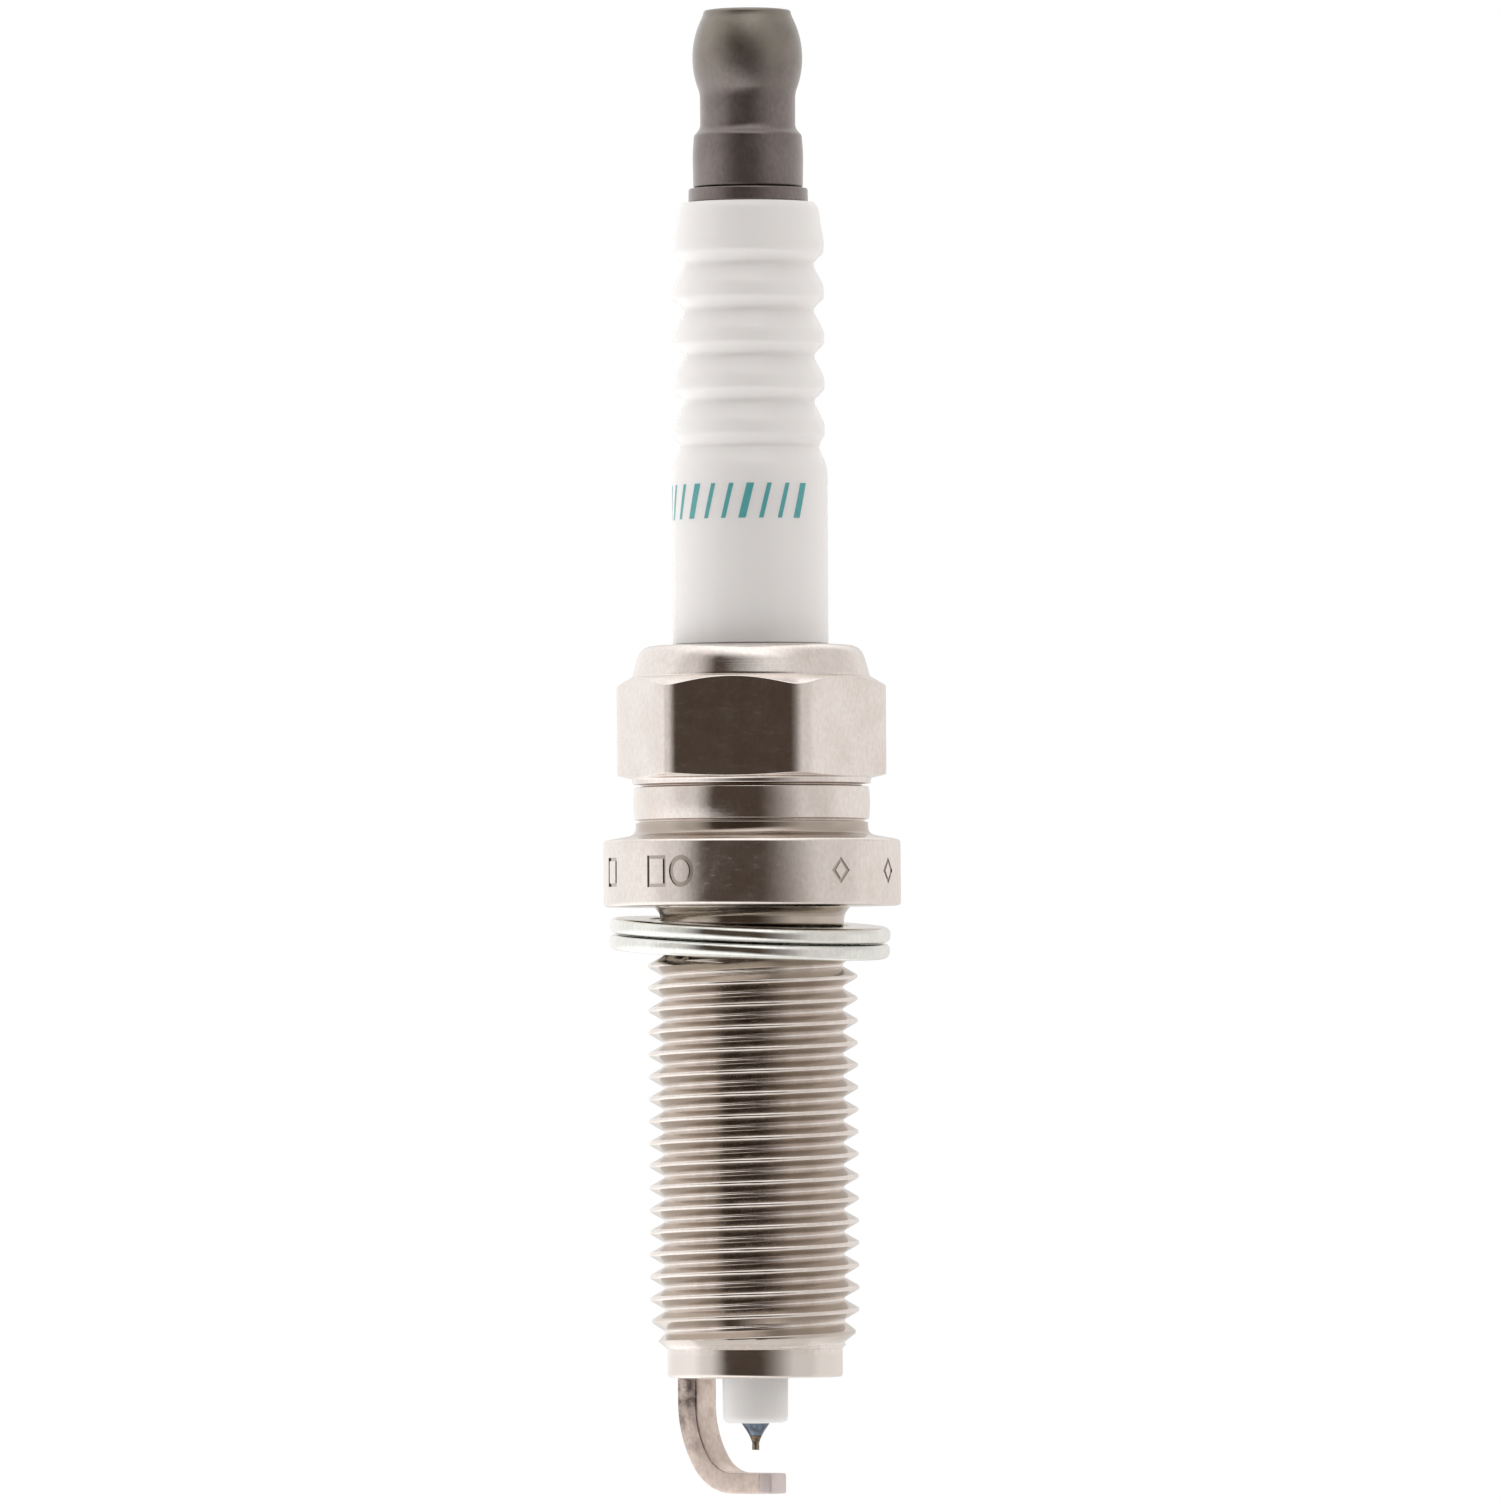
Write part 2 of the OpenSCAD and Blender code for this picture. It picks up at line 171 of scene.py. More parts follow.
def soften(corners, steps=4):
    """Rounds an open outline. A corner is (r, z) or (r, z, reach): the round's reach along each side.
    A guard point just past each end of a round keeps the shading of the straight side flat."""
    points = [Vector(corners[0][:2])]
    for before, corner, after in zip(corners, corners[1:], corners[2:]):
        here = Vector(corner[:2])
        reach = reach_of(corner)
        if not reach:
            points.append(here)
            continue
        ends = []
        for other in (before, after):
            side = Vector(other[:2]) - here
            spare = max(0, side.length - reach - reach_of(other))
            guard = reach + min(0.3 * spare, 0.25 * reach)
            ends.append((here + side.normalized() * reach, here + side.normalized() * guard))
        (start, guard_in), (end, guard_out) = ends
        points.append(guard_in)
        for i in range(steps + 1):
            t = i / steps
            points.append(start * (1 - t) ** 2 + here * 2 * t * (1 - t) + end * t * t)
        points.append(guard_out)
    points.append(Vector(corners[-1][:2]))
    return points


def finish_mesh(name, grid, material, sharp=50):
    """Merges what coincides, points the faces outwards and returns the object."""
    bmesh.ops.remove_doubles(grid, verts=grid.verts, dist=1e-7)
    bmesh.ops.dissolve_degenerate(grid, edges=grid.edges, dist=1e-8)
    loose = [e for e in grid.edges if not e.link_faces]
    bmesh.ops.delete(grid, geom=loose, context="EDGES")
    bmesh.ops.recalc_face_normals(grid, faces=grid.faces)
    mesh = bpy.data.meshes.new(name)
    grid.to_mesh(mesh)
    grid.free()
    mesh.polygons.foreach_set("use_smooth", [True] * len(mesh.polygons))
    mesh.set_sharp_from_angle(angle=math.radians(sharp))
    piece = bpy.data.objects.new(name, mesh)
    bpy.context.scene.collection.objects.link(piece)
    piece.data.materials.append(material)
    return piece


def skin(name, columns, material, loop=True, caps=False, sharp=50):
    """A surface through columns of points in mm. The last column meets the first one."""
    grid = bmesh.new()
    verts = [[grid.verts.new(Vector(p) * MM) for p in column] for column in columns]
    rows = len(columns[0])
    for column, following in zip(verts, verts[1:]):
        for j in range(rows if loop else rows - 1):
            k = (j + 1) % rows
            grid.faces.new((column[j], column[k], following[k], following[j]))
    if caps:
        grid.faces.new([column[0] for column in verts[:-1]])
        grid.faces.new([column[-1] for column in verts[:-1]])
    return finish_mesh(name, grid, material, sharp)


def turned(name, column_at, material, columns=COLUMNS, loop=True, sharp=50):
    """Turns about Z the outline that column_at gives for each angle, as (r, z) points."""
    angles = [2 * math.pi * i / columns for i in range(columns + 1)]
    grid = [[(r * math.cos(a), r * math.sin(a), z) for r, z in column_at(a)] for a in angles]
    return skin(name, grid, material, loop, sharp=sharp)


def lathe(name, outline, material, columns=COLUMNS, loop=True, sharp=50):
    return turned(name, lambda angle: outline, material, columns, loop, sharp)


def thread_profile(depth, pitch, crest_half, crest_round, root_round):
    """One turn's section as (drop below the crest, offset down the axis) points."""
    flank = depth * math.tan(math.radians(30))
    half = soften([
        (0, 0),
        (0, crest_half, crest_round),
        (depth, crest_half + flank, root_round),
        (depth, pitch / 2),
    ], 3)
    return [(drop, -offset) for drop, offset in reversed(half[1:])] + [tuple(p) for p in half]


def helix(angle, top, low, pitch, crest_z, profile, radius):
    """A right-hand thread's points at one angle, from the circle top (r, z) to the circle low."""
    turns = math.ceil((top[1] - low[1]) / pitch) + 3
    first = math.ceil((top[1] - crest_z) / pitch) * pitch + crest_z
    points = []
    for turn in range(turns):
        middle = first + pitch * (angle / (2 * math.pi) - turn)
        for drop, offset in profile:
            z = middle - offset
            if z >= top[1]:
                points.append(top)
            elif z <= low[1]:
                points.append(low)
            else:
                points.append((radius(middle, drop, z, angle), z))
    return points


def smooth_step(value, start, end):
    t = min(1, max(0, (value - start) / (end - start)))
    return t * t * (3 - 2 * t)


# ---------------------------------------------------------------- materials
class Wiring:
    """A short way to wire a node tree."""

    def __init__(self, tree):
        self.tree = tree

    def put(self, value, socket):
        if isinstance(value, bpy.types.NodeSocket):
            self.tree.links.new(value, socket)
        else:
            socket.default_value = value

    def ramp(self, value, low, high, start=0, end=1):
        """Maps low..high to start..end, held at both ends."""
        node = self.tree.nodes.new("ShaderNodeMapRange")
        node.inputs["From Min"].default_value = low
        node.inputs["From Max"].default_value = high
        self.put(start, node.inputs["To Min"])
        self.put(end, node.inputs["To Max"])
        self.tree.links.new(value, node.inputs["Value"])
        return node.outputs["Result"]

    def mix(self, factor, first, second):
        """Mixes two colours. A colour is a socket or (red, green, blue)."""
        node = self.tree.nodes.new("ShaderNodeMix")
        node.data_type = "RGBA"
        self.put(factor, node.inputs["Factor"])
        self.put(first if not isinstance(first, tuple) else (*first, 1), node.inputs["A"])
        self.put(second if not isinstance(second, tuple) else (*second, 1), node.inputs["B"])
        return node.outputs["Result"]

    def math(self, kind, *values):
        node = self.tree.nodes.new("ShaderNodeMath")
        node.operation = kind
        for value, socket in zip(values, node.inputs):
            self.put(value, socket)
        return node.outputs["Value"]

    def dot(self, vector, axis):
        """How far a vector reaches along an axis."""
        node = self.tree.nodes.new("ShaderNodeVectorMath")
        node.operation = "DOT_PRODUCT"
        self.tree.links.new(vector, node.inputs[0])
        node.inputs[1].default_value = axis
        return node.outputs["Value"]


class Nodes(Wiring):
    """A new material and the ways to texture it."""

    def __init__(self, name):
        self.material = bpy.data.materials.new(name)
        self.material.use_nodes = True
        super().__init__(self.material.node_tree)
        self.shader = self.tree.nodes["Principled BSDF"]
        coordinates = self.tree.nodes.new("ShaderNodeTexCoord")
        self.place = coordinates.outputs["Object"]

    def shade(self, **values):
        for name, value in values.items():
            self.put(value, self.shader.inputs[name.replace("_", " ")])

    def shown(self, name):
        """What is wired into the shader's socket of that name."""
        return self.shader.inputs[name].links[0].from_socket

    def noise(self, scale, detail=4, stretch=(1, 1, 1), roughness=0.6):
        """Noise of so many lumps a metre."""
        mapping = self.tree.nodes.new("ShaderNodeMapping")
        mapping.inputs["Scale"].default_value = [s * scale for s in stretch]
        texture = self.tree.nodes.new("ShaderNodeTexNoise")
        texture.inputs["Scale"].default_value = 1
        texture.inputs["Detail"].default_value = detail
        texture.inputs["Roughness"].default_value = roughness
        self.tree.links.new(self.place, mapping.inputs["Vector"])
        self.tree.links.new(mapping.outputs["Vector"], texture.inputs["Vector"])
        return texture.outputs["Fac"]

    def height(self):
        """Height above the gasket seat, in metres."""
        return self.dot(self.place, (0, 0, 1))

    def radius(self):
        """Distance from the plug's axis, in metres."""
        flat = self.tree.nodes.new("ShaderNodeVectorMath")
        flat.operation = "MULTIPLY"
        flat.inputs[1].default_value = (1, 1, 0)
        self.tree.links.new(self.place, flat.inputs[0])
        length = self.tree.nodes.new("ShaderNodeVectorMath")
        length.operation = "LENGTH"
        self.tree.links.new(flat.outputs["Vector"], length.inputs[0])
        return length.outputs["Value"]

    def window(self, value, low, high, soft):
        """1 where the value is between low and high (mm), 0 outside, with soft sides."""
        rise = self.ramp(value, (low - soft) * MM, (low + soft) * MM)
        fall = self.ramp(value, (high - soft) * MM, (high + soft) * MM, 1, 0)
        return self.math("MULTIPLY", rise, fall)

    def bump(self, value, depth, strength=1.0):
        """Bump whose full range is so many mm high, over any bump that is already there."""
        node = self.tree.nodes.new("ShaderNodeBump")
        node.inputs["Strength"].default_value = strength
        node.inputs["Distance"].default_value = depth * MM
        self.tree.links.new(value, node.inputs["Height"])
        normal = self.shader.inputs["Normal"]
        if normal.is_linked:
            self.tree.links.new(normal.links[0].from_socket, node.inputs["Normal"])
        self.tree.links.new(node.outputs["Normal"], normal)


TURNED = (0.02, 0.02, 1)


def metal(name, colour, stain, roughness, worn, turning=0.002, grain=0.0015, stain_scale=350):
    """Turned metal: stains, fine mottling, rough marks, turning lines round the axis and grain."""
    nodes = Nodes(name)
    stains = nodes.ramp(nodes.noise(stain_scale, 6), 0.45, 0.7, 0, 0.7)
    mottling = nodes.ramp(nodes.noise(5000, 4, (1, 1, 0.6)), 0.38, 0.62, 0, 0.6)
    patches = nodes.ramp(nodes.noise(900, 5), 0.35, 0.7, roughness, worn)
    marks = nodes.ramp(nodes.noise(1500, 3, (1, 1, 3.5)), 0.56, 0.7, 0, 0.07)
    nodes.shade(
        Base_Color=nodes.mix(nodes.math("ADD", stains, mottling), colour, stain),
        Metallic=1,
        Roughness=nodes.math("ADD", patches, marks),
    )
    nodes.bump(nodes.noise(9000, 2, TURNED), turning)
    nodes.bump(nodes.noise(6000, 3), grain)
    return nodes


def nickel_plate():
    """Bright plate with painted shade in browns on the thread flanks, the fillet above the collar, the
    neck, the stamps' floors and the groove under the hex, a little darker on the pilot, and a little
    rougher on the collar's side.
    """
    nodes = metal("nickel_plate", (0.79, 0.74, 0.705), (0.70, 0.64, 0.595), 0.11, 0.19)
    radius = nodes.radius()
    height = nodes.height()
    colour = nodes.shown("Base Color")
    # Painted shade: browner tints on the thread flanks, the fillet above the collar, the neck, the
    # stamps' floors and the groove under the hex. The pilot's tint is only a darker tone.
    flank_shade = ((0.56, 0.505, 0.455), ROOT_R + 0.1, THREAD_R - 0.09, 0.05, -24.6, -2, 0.3)
    fillet_shade = ((0.43, 0.37, 0.32), BAND_R - 0.4, COLLAR_R - 0.5, 0.1, 3.9, 4.72, 0.1)
    neck = ((0.50, 0.44, 0.385), NECK_R - 0.05, NECK_R + 0.3, 0.03, -1.4, 0.1, 0.1)
    stamps = ((0.46, 0.40, 0.36), COLLAR_R - 0.2, COLLAR_R - 0.03, 0.015, 0.4, 3.4, 0.1)
    groove = ((0.50, 0.43, 0.38), BAND_R - 0.6, BAND_R - 0.06, 0.03, 6.6, 7.0, 0.03)
    pilot = ((0.72, 0.67, 0.63), PILOT_R - 0.03, PILOT_R + 0.1, 0.01, -26.4, -25.2, 0.08)
    for area in (flank_shade, fillet_shade, neck, stamps, groove, pilot):
        tint, inner_r, outer_r, soft_r, low_z, high_z, soft_z = area
        where = nodes.math(
            "MULTIPLY",
            nodes.window(radius, inner_r, outer_r, soft_r),
            nodes.window(height, low_z, high_z, soft_z),
        )
        colour = nodes.mix(where, colour, tint)
    collar = nodes.window(radius, COLLAR_R - 0.03, COLLAR_R + 0.1, 0.01)
    nodes.shade(
        Base_Color=colour,
        Roughness=nodes.math("ADD", nodes.shown("Roughness"), nodes.ramp(collar, 0, 1, 0, 0.05)),
    )
    return nodes.material


def terminal_steel():
    """Dull plated steel: olive on the head, a purple brown below it."""
    nodes = metal(
        "terminal_steel", (0.20, 0.167, 0.157), (0.15, 0.122, 0.115), 0.38, 0.48, 0.003, 0.003
    )
    head = nodes.ramp(nodes.height(), 45.4 * MM, 48.0 * MM, 0, 0.8)
    cloud = nodes.ramp(nodes.noise(280, 3), 0.35, 0.65, 0.3, 1)
    olive = nodes.mix(
        nodes.math("MULTIPLY", head, cloud), nodes.shown("Base Color"), (0.265, 0.245, 0.19)
    )
    nodes.shade(
        Base_Color=olive,
        Coat_Weight=1,
        Coat_Roughness=0.33,
    )
    return nodes.material


def nickel_alloy():
    """The strap: pale drawn alloy, painted shade in blotches on its sides near the weld, and a sheared
    foot.
    """
    nodes = metal(
        "nickel_alloy", (0.70, 0.605, 0.545), (0.56, 0.46, 0.40), 0.26, 0.4, 0.002, 0.004, 900
    )
    across = nodes.dot(nodes.place, (-math.sin(STRAP_ANGLE), math.cos(STRAP_ANGLE), 0))
    inward = nodes.dot(nodes.place, (-math.cos(STRAP_ANGLE), -math.sin(STRAP_ANGLE), 0))
    half_width = STRAP_WIDTH / 2
    reach = nodes.math("ABSOLUTE", across)
    # Painted shade: the strap's sides go dark in blotches near the weld and fade out lower down.
    side = nodes.ramp(reach, (half_width - 0.14) * MM, (half_width - 0.04) * MM)
    near_weld = nodes.ramp(nodes.height(), -31.5 * MM, -27.5 * MM, 0.15, 1)
    blotches = nodes.ramp(nodes.noise(1300, 5), 0.38, 0.6, 0.25, 1)
    tint = nodes.math("MULTIPLY", nodes.math("MULTIPLY", side, near_weld), blotches)
    sheared = nodes.ramp(inward, 0.98 * MM, 1.04 * MM)
    side_shaded = nodes.mix(tint, nodes.shown("Base Color"), (0.11, 0.08, 0.075))
    nodes.shade(
        Base_Color=nodes.mix(sheared, side_shaded, (0.74, 0.67, 0.655)),
        Roughness=nodes.math("ADD", nodes.shown("Roughness"), nodes.ramp(sheared, 0, 1, 0, 0.3)),
    )
    return nodes.material


def make_materials():
    made = {}
    made["nickel_plate"] = nickel_plate()
    made["gasket_zinc"] = metal(
        "gasket_zinc", (0.82, 0.815, 0.78), (0.70, 0.72, 0.68), 0.08, 0.16
    ).material
    made["terminal_steel"] = terminal_steel()
    made["nickel_alloy"] = nickel_alloy()
    made["tinted_alloy"] = metal(
        "tinted_alloy", (0.20, 0.255, 0.32), (0.10, 0.12, 0.15), 0.3, 0.45, 0.002, 0.002, 1500
    ).material
    made["weld_metal"] = metal(
        "weld_metal", (0.32, 0.25, 0.17), (0.10, 0.075, 0.06), 0.3, 0.45, 0.004, 0.006, 2500
    ).material
    made["iridium"] = metal(
        "iridium", (0.34, 0.29, 0.23), (0.12, 0.10, 0.09), 0.3, 0.4, 0.001, 0.002, 2500
    ).material
    made["copper"] = metal(
        "copper", (0.80, 0.42, 0.28), (0.62, 0.30, 0.20), 0.3, 0.45
    ).material
    made["packing_steel"] = metal(
        "packing_steel", (0.55, 0.54, 0.52), (0.40, 0.38, 0.36), 0.4, 0.55
    ).material

    porcelain = Nodes("porcelain")
    glazed = porcelain.ramp(porcelain.height(), -4 * MM, 4 * MM)
    cloud = porcelain.noise(250, 3)
    # Painted shadow: a dark band on the ceramic where the rolled lip closes on it.
    lip = LIP_Z + 0.07
    lip_contact_shadow = porcelain.window(porcelain.height(), lip - 0.3, lip, 0.02)
    white = porcelain.mix(cloud, (0.965, 0.95, 0.938), (0.98, 0.972, 0.965))
    porcelain.shade(
        Base_Color=porcelain.mix(lip_contact_shadow, white, (0.22, 0.20, 0.19)),
        Roughness=porcelain.ramp(glazed, 0, 1, 0.55, 0.16),
        Subsurface_Weight=0.45,
        Subsurface_Radius=(0.6, 0.5, 0.45),
        Subsurface_Scale=2 * MM,
        IOR=1.55,
    )
    porcelain.bump(porcelain.noise(700, 2), 0.006)
    porcelain.bump(porcelain.noise(12000, 2), 0.0008)
    made["porcelain"] = porcelain.material

    ink = Nodes("teal_ink")
    ink.shade(
        Base_Color=ink.mix(ink.noise(3000, 3), (0.07, 0.37, 0.39), (0.13, 0.46, 0.47)),
        Roughness=0.35,
    )
    ink.bump(ink.noise(9000, 2), 0.002)
    made["teal_ink"] = ink.material

    glass = Nodes("glass_seal")
    glass.shade(
        Base_Color=glass.mix(glass.noise(2500, 4), (0.05, 0.06, 0.07), (0.22, 0.16, 0.12)),
        Roughness=glass.ramp(glass.noise(1500, 3), 0.3, 0.7, 0.1, 0.3),
    )
    glass.bump(glass.noise(3000, 3), 0.02)
    made["glass_seal"] = glass.material

    carbon = Nodes("resistor_mass")
    carbon.shade(
        Base_Color=carbon.mix(carbon.noise(5000, 4), (0.02, 0.02, 0.022), (0.09, 0.09, 0.09)),
        Roughness=0.85,
    )
    carbon.bump(carbon.noise(4000, 4), 0.03)
    made["resistor_mass"] = carbon.material

    talc = Nodes("talc")
    talc.shade(
        Base_Color=talc.mix(talc.noise(3000, 4), (0.72, 0.72, 0.66), (0.85, 0.85, 0.8)),
        Roughness=0.95,
    )
    talc.bump(talc.noise(5000, 4), 0.03)
    made["talc"] = talc.material

    floor = Nodes("pale_floor")
    floor.shade(
        Base_Color=floor.mix(floor.noise(30, 3), (0.90, 0.90, 0.89), (0.92, 0.92, 0.915)),
        Roughness=0.8,
    )
    floor.bump(floor.noise(400, 3), 0.05)
    made["pale_floor"] = floor.material
    return made


materials = make_materials()


# ---------------------------------------------------------------- the shell
def flat_r(angle):
    """The hexagon's radius at an angle, blended into its round corners. One flat is square to -Y."""
    from_flat = (angle - math.pi / 2 + math.pi / 6) % (math.pi / 3) - math.pi / 6
    flat = HEX_FLAT_R / math.cos(from_flat)
    both = math.exp(-HEX_CORNER_BLEND * flat) + math.exp(-HEX_CORNER_BLEND * HEX_CORNER_R)
    return -math.log(both) / HEX_CORNER_BLEND


def shell_top(angle):
    """From the rolled lip down to the neck, behind the gasket."""
    hex_r = flat_r(angle)
    top_z = HEX_HIGH_Z - (hex_r - HEX_FLAT_R) * math.tan(HEX_TOP_SLOPE)
    low_z = HEX_LOW_Z + (hex_r - HEX_FLAT_R) * math.tan(HEX_LOW_SLOPE)
    return soften([
        (LIP_BORE_R, LIP_Z - 0.6),
        (LIP_BORE_R, LIP_Z - 0.03, 0.12),
        (6.2, LIP_Z - 0.02, 0.75),
        (SHOULDER_R - 0.05, 12.95, 0.12),
        (SHOULDER_R - 0.06, HEX_HIGH_Z + 0.09, 0.04),
        (hex_r, top_z, 0.05),
        (hex_r, low_z, 0.05),
        (BAND_R + 0.14, HEX_LOW_Z - 0.04, 0.1),
        (BAND_R + 0.10, 6.89, 0.04),
        (BAND_R - 0.4, 6.84, 0.03),
        (BAND_R - 0.4, 6.75, 0.03),
        (BAND_R, 6.70, 0.05),
        (BAND_R + 0.09, 5.82, 0.6),
        (BAND_R, 4.88, 0.05),
        (BAND_R - 0.28, 4.82, 0.03),
        (BAND_R - 0.28, 4.76, 0.03),
        (BAND_R - 0.05, 4.70, 0.04),
        (BAND_R - 0.05, 4.04, 0.4),
        (COLLAR_R - 0.14, COLLAR_TOP_Z - 0.12, 0.05),
        (COLLAR_R - 0.01, COLLAR_TOP_Z - 0.24, 0.07),
        (COLLAR_R, 0.0, 0.2),
        (5.55, 0.0, 0.1),
        (NECK_R, -0.5, 0.3),
        (NECK_R, -1.0, 0.1),
        (ROOT_R, -1.3),
    ])


def shell_bottom():
    """From the end of the thread round the rim, up the chamber and the bore to the lip."""
    return soften([
        (PILOT_R, RUN_OUT_Z),
        (PILOT_R, SHELL_END_Z, 0.2),
        (CHAMBER_R, SHELL_END_Z, 0.1),
        (CHAMBER_R, -11.5),
        (LEDGE_BORE_R, -11.0),
        (LEDGE_BORE_R, -9.08),
        (BODY_BORE_R, -8.65),
        (BODY_BORE_R, 2.6),
        (TALC_BORE_R, 3.9),
        (TALC_BORE_R, TALC_TOP_Z),
        (LIP_BORE_R, TALC_TOP_Z),
    ])


THREAD = thread_profile(THREAD_DEPTH, PITCH, CREST_HALF, CREST_ROUND, ROOT_ROUND)


def gasket_low_z(angle):
    """The height of the gasket's lower edge, at its hole."""
    drop = GASKET_HOLE_R * math.tan(GASKET_TILT) * math.cos(angle - GASKET_LOW_ANGLE)
    return GASKET_Z - GASKET_HALF_H - drop


def shell_thread_r(middle, drop, z, angle):
    """The thread's radius. It stays low where the gasket moves, and a chamfer cuts the lower end."""
    run_in = 1 - smooth_step(middle, *RUN_IN_Z)
    under_gasket = 5.5 + max(0, gasket_low_z(angle) - 0.35 - z)
    worn_end = 0.28 * smooth_step(-middle, 22.4, 24.6)
    place = Vector((math.cos(angle) * 3, math.sin(angle) * 3, middle * 2.1))
    ragged = 0.018 * noise.noise(place * 1.7) if drop < 0.1 else 0
    crest = THREAD_R - ROOT_R - worn_end * (1 - drop / THREAD_DEPTH) + ragged
    r = ROOT_R + max(0, crest - drop) * run_in
    chamfer = PILOT_R + (z - RUN_OUT_Z) * 1.2
    return min(r, chamfer, under_gasket, THREAD_R)


def shell_column(angle):
    top = shell_top(angle)
    bottom = shell_bottom()
    first_circle = tuple(top[-1])
    last_circle = tuple(bottom[0])
    turns = helix(angle, first_circle, last_circle, PITCH, CREST_Z_AT_X, THREAD, shell_thread_r)
    return [tuple(p) for p in top] + turns + [tuple(p) for p in bottom]


def stamp(grid, angle, half_w, half_h, sides, turn):
    """Adds a hollow polygon cutter, wrapped round the collar."""
    rings = []
    outside = COLLAR_R + 0.1
    floor_r = COLLAR_R - STAMP_DEPTH
    for inset, r in ((0, outside), (0, floor_r), (STAMP_STROKE, floor_r), (STAMP_STROKE, outside)):
        ring = []
        for i in range(sides):
            a = 2 * math.pi * i / sides + turn
            at = angle + (half_w - inset) * math.cos(a) / COLLAR_R
            z = STAMP_Z + (half_h - inset) * math.sin(a)
            ring.append(grid.verts.new(Vector((r * math.cos(at), r * math.sin(at), z)) * MM))
        rings.append(ring)
    for ring, following in zip(rings, rings[1:] + rings[:1]):
        for i in range(sides):
            j = (i + 1) % sides
            grid.faces.new((ring[i], ring[j], following[j], following[i]))


def cut_stamps(shell):
    """Stamps plain shapes into the collar's side: no letters, only blocks, a ring and diamonds."""
    cutter = bmesh.new()
    square = math.pi / 4
    for degrees, half_w, half_h, sides, turn in (
        (-70, 0.95, 1.15, 4, square),
        (-40, 0.95, 1.25, 4, square),
        (-28.5, 0.78, 0.9, 24, 0),
        (36.4, 0.62, 0.75, 4, 0),
        (65.7, 0.62, 0.75, 4, 0),
    ):
        stamp(cutter, FRONT_ANGLE + math.radians(degrees), half_w, half_h, sides, turn)
    bmesh.ops.triangulate(cutter, faces=cutter.faces)
    blade = finish_mesh("stamp_cutter", cutter, materials["nickel_plate"])
    change = shell.modifiers.new("stamps", "BOOLEAN")
    change.operation = "DIFFERENCE"
    change.solver = "EXACT"
    change.object = blade
    evaluated = shell.evaluated_get(bpy.context.evaluated_depsgraph_get())
    cut = bpy.data.meshes.new_from_object(evaluated)
    shell.modifiers.clear()
    shell.data = cut
    bpy.data.objects.remove(blade)
    cut.polygons.foreach_set("use_smooth", [True] * len(cut.polygons))
    cut.set_sharp_from_angle(angle=math.radians(35))


def make_shell():
    shell = turned("shell_turned", shell_column, materials["nickel_plate"], sharp=35)
    cut_stamps(shell)
    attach(shell, "root")
    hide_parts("shell")


# ---------------------------------------------------------------- the insulator
def insulator_outline():
    """The whole section. Each groove has a steep upper side and a long slope below it."""
    corners = [
        (STUD_BORE_R, CERAMIC_TOP_Z),
        (3.72, CERAMIC_TOP_Z, 0.1),
        (3.95, CERAMIC_TOP_Z - 0.32, 0.15),
        (RIB_R + 0.02, 37.4, 0.2),
    ]
    for groove in range(GROOVES):
        groove_z = TOP_GROOVE_Z - groove * RIB_PITCH
        corners += [
            (RIB_R, groove_z + 0.68, 0.12),
            (GROOVE_R, groove_z + 0.12, 0.13),
            (GROOVE_R, groove_z - 0.12, 0.1),
            (RIB_R, groove_z - 1.2, 0.25),
        ]
    corners += [
        (RIB_R, 26.55, 0.15),
        (3.93, 26.0, 0.13),
        (3.91, 25.8, 0.08),
        (BARREL_R - 0.02, 24.8, 0.3),
        (BARREL_R, 24.2),
        (BARREL_R, LIP_Z - 0.3),
        (BARREL_R - 0.02, 9.6),
        (SHOULDER_BODY_R, 9.6),
        (SHOULDER_BODY_R, 4.02),
        (LOWER_BODY_R, 2.75),
        (LOWER_BODY_R, -8.46),
        (3.1, -8.8),
        (2.95, -9.18),
        (NOSE_R + 0.05, SHELL_END_Z),
        (NOSE_R + 0.02, NOSE_Z, 0.4),
        (ELECTRODE_BORE_R, NOSE_Z, 0.04),
        (ELECTRODE_BORE_R, -7.9),
        (STUD_BORE_R, -7.1),
    ]
    return soften(corners, 6)


def make_insulator():
    insulator = lathe("insulator_glazed", insulator_outline(), materials["porcelain"], sharp=40)
    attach(insulator, "root")
    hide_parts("insulator")


def wrapped_bar(grid, angle, half_w, slices=6):
    """A leaning bar laid round the barrel, as a closed thin plate."""
    rings = []
    r_in = BARREL_R - 0.03
    r_out = BARREL_R + 0.008
    section = ((-1, r_in), (-1, r_out), (0, r_out), (1, r_out), (1, r_in), (0, r_in))
    for i in range(slices + 1):
        up = PRINT_HALF_H * (2 * i / slices - 1)
        ring = []
        for side, r in section:
            at = angle + (side * half_w + PRINT_LEAN * up) / r_out
            ring.append(grid.verts.new(Vector((r * math.cos(at), r * math.sin(at), PRINT_Z + up)) * MM))
        rings.append(ring)
    for ring, following in zip(rings, rings[1:]):
        for i in range(len(section)):
            j = (i + 1) % len(section)
            grid.faces.new((ring[i], ring[j], following[j], following[i]))
    grid.faces.new(rings[0])
    grid.faces.new(rings[-1])


def make_print():
    """A printed row of leaning bars, with no letters in it."""
    grid = bmesh.new()
    for i in range(PRINT_BARS):
        degrees = -88 + 14.2 * i
        half_w = 0.13 if i % 3 else 0.21
        wrapped_bar(grid, FRONT_ANGLE + math.radians(degrees), half_w)
    bars = finish_mesh("printed_bars", grid, materials["teal_ink"])
    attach(bars, "root")


